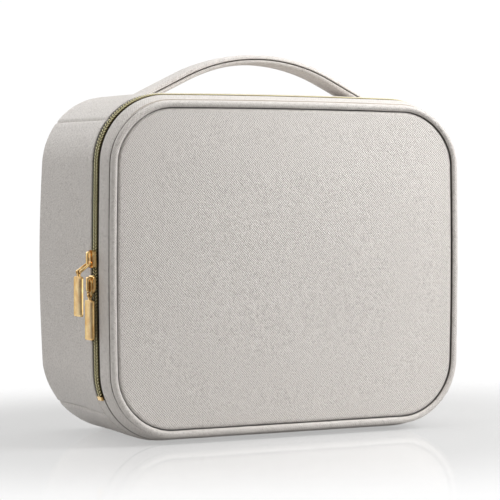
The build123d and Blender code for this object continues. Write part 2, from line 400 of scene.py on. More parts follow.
def placeCamera(setup):
    turn, lift = math.radians(setup["turn"]), math.radians(setup["lift"])
    away = Vector((-math.sin(turn) * math.cos(lift), -math.cos(turn) * math.cos(lift), math.sin(lift)))
    spot = Vector((0, 0, setup["middle"])) + away * setup["distance"]
    bpy.ops.object.camera_add(location=spot)
    camera = bpy.context.object
    camera.data.lens = setup["lens"]
    camera.data.sensor_width = setup["sensor"]
    camera.data.clip_end = setup["reach"]
    aside = Vector((math.cos(turn), -math.sin(turn), 0)) * setup["aside"]
    look = Vector((0, 0, setup["aim"])) - aside - spot
    camera.rotation_euler = look.to_track_quat("-Z", "Y").to_euler()
    bpy.context.scene.camera = camera


placeCamera(cameraSetup)
print("camera placed")


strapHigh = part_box("handle_strap")[1]
topLow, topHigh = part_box("top_gusset")
bottomLow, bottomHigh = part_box("bottom_gusset")
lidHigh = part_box("lid_gusset")[1]
pipingLow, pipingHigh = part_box("front_piping")
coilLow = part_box("zipper_coil_case")[0]

# soft pieces are laid out flat, with X along the outline, Y across the case's depth and Z outwards,
# and then wrapped round it, from the middle of the bottom up the left side, over the top and down again
outlineShape = {"sideBow": 2.2 * mm, "topBow": 1.5 * mm, "radius": 46 * mm}
outlineShape["height"] = topHigh.z
outlineShape["halfWidth"] = lidHigh.x - outlineShape["sideBow"]


def outlineArcs(shape):
    half, height, radius = shape["halfWidth"], shape["height"], shape["radius"]
    shoulder = height - shape["topBow"]
    sideRadius = ((shoulder / 2) ** 2 + shape["sideBow"] ** 2) / (2 * shape["sideBow"])
    sideX = -half - shape["sideBow"] + sideRadius
    topRadius = (half ** 2 + shape["topBow"] ** 2) / (2 * shape["topBow"])
    topZ = height - topRadius
    lowX = sideX - math.sqrt((sideRadius - radius) ** 2 - (shoulder / 2 - radius) ** 2)
    highX, highZ = radius - half, shoulder - radius
    for _ in range(8):  # the upper corner touches both the side and the top
        highX = sideX - math.sqrt((sideRadius - radius) ** 2 - (highZ - shoulder / 2) ** 2)
        highZ = topZ + math.sqrt((topRadius - radius) ** 2 - highX ** 2)
    lowTurn = math.atan2(radius - shoulder / 2, lowX - sideX) % (2 * math.pi)
    highTurn = math.atan2(highZ - shoulder / 2, highX - sideX)
    topTurn = math.atan2(highZ - topZ, highX)
    return lowX, [
        (lowX, radius, radius, 1.5 * math.pi, lowTurn),
        (sideX, shoulder / 2, sideRadius, lowTurn, highTurn),
        (highX, highZ, radius, highTurn, topTurn),
        (0, topZ, topRadius, topTurn, 0.5 * math.pi),
    ]


flatRun, arcs = outlineArcs(outlineShape)
flatRun = -flatRun
halfLength = flatRun + sum(r * (a - b) for _, _, r, a, b in arcs)
fullLength = 2 * halfLength
middle = Vector((0, 0, outlineShape["height"] / 2))


def outlineAt(along):
    # place and outward direction at a distance along the outline
    along = along % fullLength
    mirrored = along > halfLength
    if mirrored:
        along = fullLength - along
    if along <= flatRun:
        x, z, nx, nz = -along, 0, 0, -1
    else:
        left = along - flatRun
        for cx, cz, r, a, b in arcs:
            if left <= r * (a - b) + 1e-9:
                break
            left -= r * (a - b)
        turn = a - left / r
        nx, nz = math.cos(turn), math.sin(turn)
        x, z = cx + r * nx, cz + r * nz
    if mirrored:
        x, nx = -x, -nx
    return x, z, nx, nz


def alongAt(height):
    # distance along the left side where the outline reaches a height
    low, high = 0, halfLength
    for _ in range(40):
        half = (low + high) / 2
        if outlineAt(half)[1] < height:
            low = half
        else:
            high = half
    return low


def wrapRound(obj):
    for vertex in obj.data.vertices:
        x, z, nx, nz = outlineAt(vertex.co.x)
        out = vertex.co.z
        vertex.co = (x + nx * out, vertex.co.y, z + nz * out)


def softness(along, across):
    # slow, shallow unevenness of soft goods
    a, b = along * 31, across * 47
    waves = 0.5 * math.sin(a + 1.3) * math.sin(b + 0.4)
    waves += 0.3 * math.sin(2.3 * a - b)
    return waves + 0.2 * math.sin(0.7 * b + 3.1 * a)


def layStrip(name, start, end, profile, step=2.5 * mm, shape=None, bare=False):
    # profile is a list of (y, out) across the strip
    columns = max(2, round((end - start) / step))
    rows = len(profile) - 1
    deselectAll()
    bpy.ops.mesh.primitive_grid_add(x_subdivisions=columns, y_subdivisions=rows, size=1)
    strip = newest(name)
    path = [0]
    for (y0, o0), (y1, o1) in zip(profile, profile[1:]):
        path.append(path[-1] + math.hypot(y1 - y0, o1 - o0))
    flat = {}
    for vertex in strip.data.vertices:
        row = round((vertex.co.y + 0.5) * rows)
        along = start + (vertex.co.x + 0.5) * (end - start)
        flat[vertex.index] = (along, path[row])
        y, out = profile[row]
        if shape:
            y, out = shape(along, y, out)
        vertex.co = (along, y, out)
    uv = strip.data.uv_layers.active
    for loop in strip.data.loops:
        uv.data[loop.index].uv = flat[loop.vertex_index]
    if not bare:
        wrapRound(strip)
    return strip


def bulge(distance, width):
    return math.exp(-(distance / width) ** 2)


def arcPoints(cy, co, radius, fromTurn, toTurn, count):
    # points on an arc in the (y, out) plane, angles in degrees from +y
    points = []
    for i in range(count + 1):
        turn = math.radians(fromTurn + (toTurn - fromTurn) * i / count)
        points.append((cy + radius * math.cos(turn), co + radius * math.sin(turn)))
    return points


def evenPoints(y0, o0, y1, o1, count):
    return [(y0 + (y1 - y0) * i / count, o0 + (o1 - o0) * i / count) for i in range(1, count)]


caseEdge = bottomLow.y
lidEdge = lidHigh.y
pipingBack = pipingHigh.y
floorClear = 0.5 * mm  # below this a piece lies flat on the floor
shoulderShape = {"start": 0.9 * mm, "deep": 2.3 * mm, "topMore": 2.4 * mm, "bottomMore": 1.0 * mm}
bellyShape = {"side": 2.1 * mm, "corner": 2.0 * mm, "top": 0.5 * mm, "reach": 55 * mm}


def smooth(value):
    value = min(1, max(0, value))
    return value * value * (3 - 2 * value)


def frontMore(nz, look=shoulderShape):
    # the front stands further in along the top, and a little along the bottom
    return look["topMore"] * smooth(nz) if nz > 0 else look["bottomMore"] * smooth(-nz)


def shoulder(along, y, look=shoulderShape):
    # how far in the surface stands between the case's edge and the piping
    part = min(1.1, max(0, (caseEdge - y) / (caseEdge - pipingBack)))
    nz = outlineAt(along)[3]
    return -look["start"] * part - (look["deep"] + frontMore(nz)) * part ** 2


def onShoulder(along, y, out):
    return y, out + shoulder(along, y)


def belly(x, z, nx, nz, y, look=bellyShape):
    # soft sides stand out in the middle and draw in at the lower corners, towards the back
    part = smooth((y - caseEdge) / look["reach"])
    rise = math.sin(math.pi * min(1, max(0, z / outlineShape["height"])))
    out = look["side"] * nx ** 2 * rise ** 1.5
    out += look["top"] * smooth(nz)
    out -= look["corner"] * min(1, 2.2 * abs(nx) * max(0, -nz))
    return out * part


gussetLook = {
    "skin": 1.2 * mm, "thick": 0.9 * mm, "foldRadius": 0.75 * mm, "lap": 1.3 * mm, "tuck": 2.4 * mm,
    "backRound": 7 * mm, "seamDepth": 0.8 * mm, "seamWidth": 0.55 * mm, "step": 1.3 * mm,
    "puff": 0.16 * mm, "puffAt": 3.2 * mm, "puffWidth": 2.6 * mm,
    "uneven": 0.22 * mm, "calmFront": 3 * mm, "frontFade": 12 * mm, "backFade": 9 * mm,
}


def gussetProfile(look):
    front, back = bottomLow.y + look["skin"], cadBounds[1][1]
    fold, turn = look["foldRadius"], look["backRound"]
    foldAt = front + fold - look["lap"]
    points = [(front + look["tuck"], -2 * fold)]
    points += arcPoints(foldAt, -fold, fold, 270, 90, 7)
    points += evenPoints(foldAt, 0, back - turn, 0, 34)
    points += arcPoints(back - turn, -turn, turn, 90, 4, 9)
    points.append((back - 0.5 * mm, -turn - 0.2 * mm))
    points.append((back - 1.3 * mm, -turn - 0.4 * mm))
    return points


def gussetPanel(name, start, end, look, *nodes):
    back = cadBounds[1][1]

    def shape(along, y, out):
        fade = min(1, max(0, (y - bottomLow.y - look["calmFront"]) / look["frontFade"]))
        fade *= min(1, max(0, (back - y) / look["backFade"]))
        edge = min(along - start, end - along)
        x, z, nx, nz = outlineAt(along)
        out += belly(x, z, nx, nz, y)
        out -= look["seamDepth"] * bulge(edge, look["seamWidth"])
        out += look["puff"] * bulge(edge - look["puffAt"], look["puffWidth"]) * fade
        if z >= floorClear:
            out += look["uneven"] * softness(along, y) * fade
        return y, out

    panel = layStrip(name, start, end, gussetProfile(look), look["step"], shape)
    addModifier(panel, "SOLIDIFY", thickness=look["thick"], offset=-1)
    smoothShade(panel, 50)
    return finishPiece(panel, "case", leather, "shell_leather", *nodes)


lowSeam = alongAt(bottomHigh.z)
highSeam = alongAt(topLow.z)
farHigh, farLow = fullLength - highSeam, fullLength - lowSeam
gussetPanel("gusset_left", lowSeam, highSeam, gussetLook, "side_gusset_left", "side_stiffener_left")
gussetPanel("gusset_top", highSeam, farHigh, gussetLook, "top_gusset", "top_stiffener")
gussetPanel("gusset_right", farHigh, farLow, gussetLook, "side_gusset_right", "side_stiffener_right")
gussetPanel("gusset_bottom", farLow, fullLength + lowSeam, gussetLook, "bottom_gusset", "bottom_stiffener")
print("case gusset made")


panelRows = {"edge": [row * mm for row in (0, 0.25, 0.6, 1.1, 1.8, 2.6, 3.4, 4.6, 6.5, 9, 12)], "rings": 34,
             "step": 2.5 * mm}


def layPanel(name, insetAt, depthAt):
    # a panel inside the outline: rows close to its edge first, then rings that shrink to the middle
    edgeRows, rings = panelRows["edge"], panelRows["rings"]
    rows = len(edgeRows) + rings - 1
    columns = round(fullLength / panelRows["step"])
    deselectAll()
    bpy.ops.mesh.primitive_grid_add(x_subdivisions=columns, y_subdivisions=rows, size=1)
    panel = newest(name)
    for vertex in panel.data.vertices:
        row = round((vertex.co.y + 0.5) * rows)
        x, z, nx, nz = outlineAt((vertex.co.x + 0.5) * fullLength)
        if row < len(edgeRows):
            distance = edgeRows[row]
            keep = 1
        else:
            distance = edgeRows[-1]
            keep = 1 - (row - len(edgeRows) + 1) / rings
        inset = insetAt(x, z, nx, nz)
        x -= nx * (inset + distance)
        z -= nz * (inset + distance)
        x, z = x * keep, middle.z + (z - middle.z) * keep
        vertex.co = (x, depthAt(x, z, distance), z)
    mergeDoubles(panel, 0.00001)
    uv = panel.data.uv_layers.active
    for loop in panel.data.loops:
        co = panel.data.vertices[loop.vertex_index].co
        uv.data[loop.index].uv = (co.x, co.z)
    return panel


def crown(x, z, inset):
    # 1 in the middle, 0 at the panel's edge
    fx = min(1, abs(x) / (outlineShape["halfWidth"] - inset))
    fz = min(1, abs(z - middle.z) / (outlineShape["height"] / 2 - inset))
    return (1 - fx ** 2.6) * (1 - fz ** 2.6)


frontLook = {"crown": 2.6 * mm, "roll": 2.8 * mm, "deep": 2.8 * mm, "uneven": 0.16 * mm, "thick": 0.9 * mm,
             "under": 0.35 * mm, "rimAt": 2.0 * mm, "forward": 0.5 * mm}


def frontPanel(look):
    inset = pipingLook["inset"] + 2 * pipingLook["radius"] - look["under"]
    rim = pipingLow.y + look["rimAt"]  # where the panel comes out of the groove

    def depthAt(x, z, distance):
        roll = max(0, 1 - distance / look["roll"])
        y = rim + look["deep"] * (1 - math.sqrt(max(0, 1 - roll ** 2))) - look["forward"]
        return y - look["crown"] * crown(x, z, inset) - look["uneven"] * softness(x, z)

    def insetAt(x, z, nx, nz):
        return inset + frontMore(nz)

    panel = layPanel("front_panel", insetAt, depthAt)
    faceOut(panel, Vector((0, -1, 0)))
    addModifier(panel, "SOLIDIFY", thickness=look["thick"], offset=-1)
    smoothShade(panel, 50)
    return finishPiece(panel, "lid", leather, "shell_leather", "lid_panel")


def faceOut(obj, direction):
    # turns every face over if the sheet looks the wrong way
    total = Vector((0, 0, 0))
    for face in obj.data.polygons:
        total += face.normal * face.area
    if total.dot(direction) < 0:
        pick(obj)
        bpy.ops.object.mode_set(mode="EDIT")
        bpy.ops.mesh.select_all(action="SELECT")
        bpy.ops.mesh.flip_normals()
        bpy.ops.object.mode_set(mode="OBJECT")


backLook = {"crown": 0.5 * mm, "roll": 2.0 * mm, "deep": 1.2 * mm, "uneven": 0.12 * mm, "thick": 0.9 * mm,
            "gap": 0.35 * mm}


def backPanel(look):
    inset = gussetLook["backRound"] + look["gap"]
    rim = cadBounds[1][1]

    def depthAt(x, z, distance):
        roll = max(0, 1 - distance / look["roll"])
        y = rim - look["deep"] * (1 - math.sqrt(max(0, 1 - roll ** 2)))
        return y + look["crown"] * crown(x, z, inset) + look["uneven"] * softness(z, x)

    def insetAt(x, z, nx, nz):
        return inset - belly(x, z, nx, nz, rim)

    panel = layPanel("back_skin", insetAt, depthAt)
    faceOut(panel, Vector((0, 1, 0)))
    addModifier(panel, "SOLIDIFY", thickness=look["thick"], offset=-1)
    smoothShade(panel, 50)
    return finishPiece(panel, "case", leather, "shell_leather", "back_panel")


pipingLook = {"inset": 3.2 * mm, "radius": 2.25 * mm, "jointAt": fullLength - 28 * mm,
              "jointDepth": 0.45 * mm, "jointWidth": 0.7 * mm}


def frontPiping(look):
    radius = look["radius"]
    centre = (pipingLow.y + radius, -look["inset"] - radius)
    ringPoints = arcPoints(*centre, radius, 0, 360, 20)

    def shape(along, y, out):
        swell = 1 + 0.012 * math.sin(along * 210) + 0.010 * math.sin(along * 95 + 2)
        x, z, nx, nz = outlineAt(along)
        if abs(nx) > 0.15 and abs(nz) > 0.15:  # small gathers where the piping goes round a corner
            swell += 0.014 * math.sin(along * 900)
        swell -= look["jointDepth"] / radius * bulge(along % fullLength - look["jointAt"], look["jointWidth"])
        return centre[0] + (y - centre[0]) * swell, centre[1] + (out - centre[1]) * swell - frontMore(nz)

    tube = layStrip("piping", 0, fullLength, ringPoints, 1.0 * mm, shape)
    mergeDoubles(tube, 0.00001, outside=True)
    smoothShade(tube, 60)
    return finishPiece(tube, "lid", pipingLeather, "piping_leather", "front_piping")


lidLook = {"fold": 0.75 * mm, "uneven": 0.12 * mm, "thick": 0.5 * mm, "under": 0.9 * mm, "tuck": 2.8 * mm,
           "backFade": 4 * mm, "step": 1.6 * mm}


def lidStrip(look):
    front, back, fold = pipingBack - look["under"], lidEdge, look["fold"]
    points = [(front, -2.4 * mm), (front + 0.6 * mm, -1.3 * mm), (front + 1.0 * mm, -0.45 * mm)]
    points.append((front + 1.5 * mm, -0.08 * mm))
    points += evenPoints(front + 1.5 * mm, 0, back - fold, 0, 7)
    points += arcPoints(back - fold, -fold, fold, 90, -90, 7)
    points.append((back - look["tuck"], -2 * fold))

    def shape(along, y, out):
        out += shoulder(along, y)
        if outlineAt(along)[1] >= floorClear:
            out += look["uneven"] * softness(along, y * 3) * min(1, (back - y) / look["backFade"])
        return y, out

    strip = layStrip("lid_strip", 0, fullLength, points, look["step"], shape)
    mergeDoubles(strip, 0.00001)
    addModifier(strip, "SOLIDIFY", thickness=look["thick"], offset=-1)
    smoothShade(strip, 50)
    return finishPiece(strip, "lid", stripLeather, "shell_leather", "lid_gusset", "lid_stiffener")


frontPiping(pipingLook)
lidStrip(lidLook)
frontPanel(frontLook)
backPanel(backLook)
print("piping, lid strip and panels made")


hingeLook = {"tuck": 0.9 * mm, "dip": 0.25 * mm, "thick": 0.6 * mm}


def hingeStrip(name, node, material, front, back, out, look):
    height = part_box(node)[1].z
    reach = alongAt(height)
    dip, tuck = look["dip"], look["tuck"]
    points = [(front - 0.4 * mm, out - tuck), (front, out - dip * 1.6), (front + 0.7 * mm, out - dip)]
    points += evenPoints(front + 0.7 * mm, out - dip * 0.6, back - 0.7 * mm, out - dip * 0.6, 12)
    points += [(back - 0.7 * mm, out - dip), (back, out - dip * 1.6), (back + 0.4 * mm, out - tuck)]
    strip = layStrip(name, fullLength - reach, fullLength + reach, points, 2.5 * mm, onShoulder)
    addModifier(strip, "SOLIDIFY", thickness=look["thick"], offset=-1)
    smoothShade(strip, 50)
    strip.data.materials.clear()
    strip.data.materials.append(material)
    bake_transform(strip)
    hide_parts(node)
    return strip


skinLow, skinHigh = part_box("hinge_gusset")
innerLow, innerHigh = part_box("hinge_lining")
innerAt = -4.9 * mm
hingeStrip("hinge_skin", "hinge_gusset", hingeLeather, skinLow.y, skinHigh.y, 0, hingeLook)
hingeStrip("hinge_inside", "hinge_lining", liningCloth, innerLow.y, innerHigh.y, innerAt,
           hingeLook)
print("hinge strips made")


chainShape = {"pitch": 2.0 * mm, "long": 3.3 * mm, "wide": 1.15 * mm, "thick": 1.7 * mm, "slant": 40,
              "sunk": 0.80 * mm}
tapeLook = {"sunk": 1.95 * mm, "thick": 0.4 * mm, "gap": 0.25 * mm}
zipMiddle = (coilLow.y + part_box("zipper_coil_lid")[1].y) / 2


def zipperChain(name, node, side, shape, body):
    start = alongAt(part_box(node)[0].z)
    count = int((fullLength - 2 * start) / shape["pitch"])
    deselectAll()
    bpy.ops.mesh.primitive_uv_sphere_add(segments=8, ring_count=5, radius=0.5)
    tooth = newest(name)
    tooth.scale = (shape["wide"], shape["long"], shape["thick"])
    tooth.rotation_euler = (0, 0, math.radians(-side * shape["slant"]))
    offset = 0 if side > 0 else shape["pitch"] / 2  # the two halves mesh, half a pitch apart
    across = zipMiddle + side * (shape["long"] * 0.5 * math.cos(math.radians(shape["slant"])) + 0.05 * mm)
    tooth.location = (start + offset, across, -shape["sunk"])
    settle(tooth)
    step = (shape["pitch"], 0, 0)
    addModifier(tooth, "ARRAY", count=count, use_relative_offset=False, use_constant_offset=True,
                constant_offset_displace=step)
    for vertex in tooth.data.vertices:
        vertex.co.z += shoulder(vertex.co.x, vertex.co.y)
    wrapRound(tooth)
    smoothShade(tooth, 80)
    return finishPiece(tooth, body, chain, "zip_chain", node)


def zipperTape(name, node, side, look, body):
    low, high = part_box(node)
    start = alongAt(low.z)
    inner = zipMiddle + side * look["gap"]
    outer = high.y if side > 0 else low.y
    points = evenPoints(inner, -look["sunk"], outer, -look["sunk"], 10)
    tape = layStrip(name, start, fullLength - start, points, 2.0 * mm, onShoulder)
    faceOut(tape, Vector((0, 0, 1)))
    addModifier(tape, "SOLIDIFY", thickness=look["thick"], offset=0)
    smoothShade(tape, 50)
    return finishPiece(tape, body, tapeCloth, "zip_tape", node)


zipperChain("chain_case", "zipper_coil_case", 1, chainShape, "case")
zipperChain("chain_lid", "zipper_coil_lid", -1, chainShape, "lid")
zipperTape("tape_case", "zipper_tape_case", 1, tapeLook, "case")
zipperTape("tape_lid", "zipper_tape_lid", -1, tapeLook, "lid")
print("zipper chain made")


sliderLook = {
    "length": 11 * mm, "wide": 8.6 * mm, "round": 1.9 * mm, "tail": 0.80,
    "plateFrom": 3.25 * mm, "plateTo": 4.45 * mm, "dish": 0.8 * mm, "dishDeep": 0.45 * mm,
    "underOut": 0.7 * mm, "underIn": 0.3 * mm, "webBack": 1.3 * mm, "webHalf": 1.2 * mm, "webThin": 0.22 * mm,
    "rimFrom": 2.55 * mm, "rimCase": 5.8 * mm, "rimLid": 4.65 * mm, "rimThick": 0.85 * mm,
    "rimShort": 1.9 * mm,
    "bridgeWide": 2.9 * mm, "bridgeDeep": 3.5 * mm, "bridgeShort": 0.6 * mm, "bridgeFrame": 1.1 * mm,
    "softEdge": 0.25 * mm,
}
pullLook = {
    "bar": 1.5 * mm, "width": 6.8 * mm, "pitch": 9.4 * mm, "ringRound": 2.0 * mm, "ringEdge": 0.42 * mm,
    "plateLong": 25 * mm, "plateWide": 11 * mm, "plateThick": 2.0 * mm, "plateRound": 1.5 * mm,
    "frame": 1.15 * mm, "sunk": 0.35 * mm, "neckHalf": 0.85 * mm, "neckWide": 1.5 * mm,
    "eye": 1.74 * mm, "eyeRadius": 1.29 * mm, "eyeThick": 0.44 * mm, "eyeLong": 3.2,
}


def facesFacing(obj, axis):
    # selects the flat ends of a block that look along an axis, either way
    for face in obj.data.polygons:
        face.select = abs(face.normal[axis]) > 0.99 and face.area > 2e-6
    for edge in obj.data.edges:
        edge.select = False
    for vertex in obj.data.vertices:
        vertex.select = False
    for face in obj.data.polygons:
        if face.select:
            for index in face.vertices:
                obj.data.vertices[index].select = True


def edgesAlong(obj, axis, sign=0, across=0):
    # selects a block's edges that run along an axis, on one side of another axis if asked
    middleAt = sum((v.co[across] for v in obj.data.vertices)) / len(obj.data.vertices)
    for part in (obj.data.vertices, obj.data.polygons):
        for item in part:
            item.select = False
    for edge in obj.data.edges:
        a, b = [obj.data.vertices[i].co for i in edge.vertices]
        along = abs((b - a)[axis]) > 0.9 * (b - a).length
        edge.select = along and (sign == 0 or (a[across] - middleAt) * sign > 0)


def metalBlock(name, low, high):
    low, high = Vector(low), Vector(high)
    deselectAll()
    bpy.ops.mesh.primitive_cube_add(size=1, location=(low + high) / 2)
    block = newest(name)
    block.scale = high - low
    settle(block)
    return block


def roundEdges(block, axis, width, segments=4, sign=0, across=0):
    pick(block)
    edgesAlong(block, axis, sign, across)
    bpy.ops.object.mode_set(mode="EDIT")
    bpy.ops.mesh.select_mode(type="EDGE")
    bpy.ops.mesh.bevel(offset=width, segments=segments, affect="EDGES")
    bpy.ops.object.mode_set(mode="OBJECT")


def insetEnds(block, axis, frame, depth):
    pick(block)
    bpy.ops.object.mode_set(mode="EDIT")
    bpy.ops.mesh.select_mode(type="FACE")
    bpy.ops.object.mode_set(mode="OBJECT")
    facesFacing(block, axis)
    bpy.ops.object.mode_set(mode="EDIT")
    bpy.ops.mesh.inset(thickness=frame, depth=depth)
    bpy.ops.object.mode_set(mode="OBJECT")


def holeThrough(block, axis, frame):
    insetEnds(block, axis, frame, 0)
    bpy.ops.object.mode_set(mode="EDIT")
    bpy.ops.mesh.bridge_edge_loops()
    bpy.ops.object.mode_set(mode="OBJECT")


def polish(block, width=0.3 * mm, segments=3):
    # small rounded edges that catch the light
    addModifier(block, "BEVEL", width=width, segments=segments, limit_method="ANGLE",
                angle_limit=math.radians(38))
    smoothShade(block, 45)


def sliderPiece(name, node, nose, body, look):
    low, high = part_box(node)
    z, y, top = (low.z + high.z) / 2, (low.y + high.y) / 2, low.x
    half, wide, soft = look["length"] / 2, look["wide"] / 2, look["softEdge"]
    plate = metalBlock(name + "_plate", (top + look["plateFrom"], y - wide, z - half),
                       (top + look["plateTo"], y + wide, z + half))
    for vertex in plate.data.vertices:  # narrower at the tail
        if (vertex.co.z - z) * nose < 0:
            vertex.co.y = y + (vertex.co.y - y) * look["tail"]
    roundEdges(plate, 0, look["round"])
    insetEnds(plate, 0, look["dish"], look["dishDeep"])
    polish(plate, soft)
    under = metalBlock(name + "_under", (high.x - look["underOut"], y - wide, z - half),
                       (high.x + look["underIn"], y + wide, z + half))
    roundEdges(under, 0, look["round"])
    polish(under, soft)
    webAt = z + nose * (half - look["webBack"])
    web = metalBlock(name + "_web", (top + 4.3 * mm, y - look["webThin"], webAt - look["webHalf"]),
                     (high.x - 0.4 * mm, y + look["webThin"], webAt + look["webHalf"]))
    rims = []
    for side, depth in ((1, look["rimCase"]), (-1, look["rimLid"])):
        edge = y + side * (wide - 0.1 * mm)
        inner = edge - side * look["rimThick"]
        reach = half - look["rimShort"]
        rim = metalBlock(name + "_rim", (top + look["rimFrom"], min(edge, inner), z - reach),
                         (top + depth, max(edge, inner), z + reach))
        roundEdges(rim, 1, 0.7 * mm, sign=-1, across=0)
        polish(rim, soft)
        rims.append(rim)
    thin, short = look["bridgeWide"] / 2, half - look["bridgeShort"]
    bridge = metalBlock(name + "_bridge", (top, y - thin, z - short),
                        (top + look["bridgeDeep"], y + thin, z + short))
    roundEdges(bridge, 1, 1.5 * mm, 5, sign=-1, across=0)
    holeThrough(bridge, 1, look["bridgeFrame"])
    polish(bridge, 0.28 * mm)
    whole = joinAll([plate, under, web, bridge] + rims, name)
    return finishPiece(whole, body, gold, "gold_metal", node)


def linkPiece(name, node, lean, body, look):
    low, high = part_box(node)
    size = Vector((look["bar"], look["width"], look["pitch"] + look["bar"])) / 2
    ring = metalBlock(name, -size, size)
    roundEdges(ring, 0, look["ringRound"], 5)
    holeThrough(ring, 0, look["bar"])
    polish(ring, look["ringEdge"])
    ring.rotation_euler = (0, math.radians(lean), 0)
    ring.location = (low + high) / 2
    settle(ring)
    return finishPiece(ring, body, gold, "gold_metal", node)


def platePiece(name, node, body, look):
    low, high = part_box(node)
    x, y = (low.x + high.x) / 2, (low.y + high.y) / 2
    thick, wide = look["plateThick"] / 2, look["plateWide"] / 2
    eyeAt = high.z - look["eye"]
    top = low.z + look["plateLong"]
    plate = metalBlock(name + "_slab", (x - thick, y - wide, low.z), (x + thick, y + wide, top))
    roundEdges(plate, 0, look["plateRound"], 5)
    insetEnds(plate, 0, look["frame"], -look["sunk"])
    polish(plate, 0.22 * mm)
    neck = metalBlock(name + "_neck", (x - look["neckHalf"], y - look["neckWide"], top - 0.4 * mm),
                      (x + look["neckHalf"], y + look["neckWide"], eyeAt - 1.0 * mm))
    polish(neck, 0.3 * mm)
    deselectAll()
    bpy.ops.mesh.primitive_torus_add(major_segments=28, minor_segments=10, major_radius=look["eyeRadius"],
                                     minor_radius=look["eyeThick"], location=(0, 0, 0))
    eye = newest(name + "_eye")
    eye.scale = (1, 1, look["eyeLong"])
    eye.rotation_euler = (math.radians(90), 0, 0)
    eye.location = (x, y, eyeAt)
    settle(eye)
    smoothShade(eye, 60)
    whole = joinAll([plate, neck, eye], name)
    return finishPiece(whole, body, gold, "gold_metal", node)


sliderPiece("slider_upper", "upper_slider_body", -1, "upper_slider", sliderLook)
sliderPiece("slider_lower", "lower_slider_body", 1, "lower_slider", sliderLook)
linkPiece("link_upper", "upper_pull_link", 53, "upper_link", pullLook)
linkPiece("link_lower", "lower_pull_link", 0, "lower_link", pullLook)
platePiece("plate_upper", "upper_pull_plate", "upper_plate", pullLook)
platePiece("plate_lower", "lower_pull_plate", "lower_plate", pullLook)
print("sliders and pulls made")


handleLook = {"width": 20 * mm, "thick": 5.6 * mm, "legAngle": 26, "bury": 8 * mm, "halfSpan": 78.5 * mm,
              "rise": 24.5 * mm, "grooveDeep": 1.2 * mm, "grooveWide": 0.65 * mm, "crown": 0.5 * mm,
              "bendFrom": 0.2212, "bendTo": 0.2320}


def handleLine(look):
    # straight legs joined by one arc, as a function of the distance from the left root
    half, rise = look["halfSpan"], look["rise"]
    lean = math.radians(look["legAngle"])
    tilt = (1 - math.cos(lean)) / math.sin(lean)
    leg = (rise - half * tilt) / (math.sin(lean) - math.cos(lean) * tilt)
    radius = (half - leg * math.cos(lean)) / math.sin(lean)
    footZ = strapHigh.z - look["thick"] / 2 - rise
    leg += look["bury"]
    whole = 2 * leg + 2 * radius * lean
    startX, startZ = -half - look["bury"] * math.cos(lean), footZ - look["bury"] * math.sin(lean)

    def at(along):
        mirrored = along > whole / 2
        if mirrored:
            along = whole - along
        if along < leg:
            x, z, turn = startX + along * math.cos(lean), startZ + along * math.sin(lean), lean
        else:
            turn = lean - (along - leg) / radius
            x = -radius * math.sin(turn)
            z = footZ + rise - radius * (1 - math.cos(turn))
        if mirrored:
            x, turn = -x, -turn
        return x, z, turn
    return whole, at


def strapSection(look):
    # closed section across the strap: (across, up), with a groove along each edge
    w, t = look["width"] / 2, look["thick"] / 2
    top = [(w * c, t + look["crown"] * (1 - c * c)) for c in (-0.82, -0.55, -0.28, 0, 0.28, 0.55, 0.82)]
    edge = []
    for turn in (62, 40, 22, 12):
        lean = math.radians(turn)
        edge.append((w * 0.86 + w * 0.14 * math.cos(lean), t * 0.12 + t * 0.88 * math.sin(lean)))
    edge.append((w - 0.05 * mm, look["grooveWide"]))
    groove = [(w - look["grooveDeep"] * 0.8, look["grooveWide"] * 0.45)]
    groove.append((w - look["grooveDeep"], 0))
    half = top[3:] + edge + groove
    lower = [(x, -z) for x, z in reversed(half[:-1])]
    right = half + lower
    left = [(-x, z) for x, z in reversed(right[1:-1])]
    return right + left + right[:1]


def handleStrap(look):
    whole, at = handleLine(look)
    section = strapSection(look)
    strap = layStrip("strap", 0, whole, section, 1.5 * mm, bare=True)
    for vertex in strap.data.vertices:
        x, z, turn = at(min(max(vertex.co.x, 0), whole))
        up = vertex.co.z * (1 + 0.02 * math.sin(vertex.co.x * 60))
        vertex.co = (x - math.sin(turn) * up, vertex.co.y, z + math.cos(turn) * up)
    mergeDoubles(strap, 0.00001, outside=True)
    smoothShade(strap, 50)
    around = [math.dist(a, b) for a, b in zip(section, section[1:])]
    groove = sum(around[:section.index((look["width"] / 2 - look["grooveDeep"], 0))])
    # a dark line along each groove: painted shade in the groove, partly the seam line between the plies
    seamShades = [(groove, look["grooveWide"]), (sum(around) - groove, look["grooveWide"])]
    strap.data.materials.clear()
    # a brighter copy of the leather: painted light on the handle
    strap.data.materials.append(makeLeather("strap_leather", leatherLook, 1.03, seamShades))
    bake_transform(strap)
    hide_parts("handle_strap", "handle_core")
    return strap


handleStrap(handleLook)
print("handle made")


dividerLook = {"swell": 0.7 * mm, "soft": 2.2 * mm, "fill": 0.7, "bindWidth": 7 * mm, "bindProud": 0.35 * mm,
               "bindSoft": 1.9 * mm, "bindAhead": 0.2 * mm, "bindShort": 1.0 * mm}


def roundAll(obj, width):
    pick(obj)
    bpy.ops.object.mode_set(mode="EDIT")
    bpy.ops.mesh.select_all(action="SELECT")
    bpy.ops.mesh.bevel(offset=width, segments=4, affect="EDGES")
    bpy.ops.object.mode_set(mode="OBJECT")


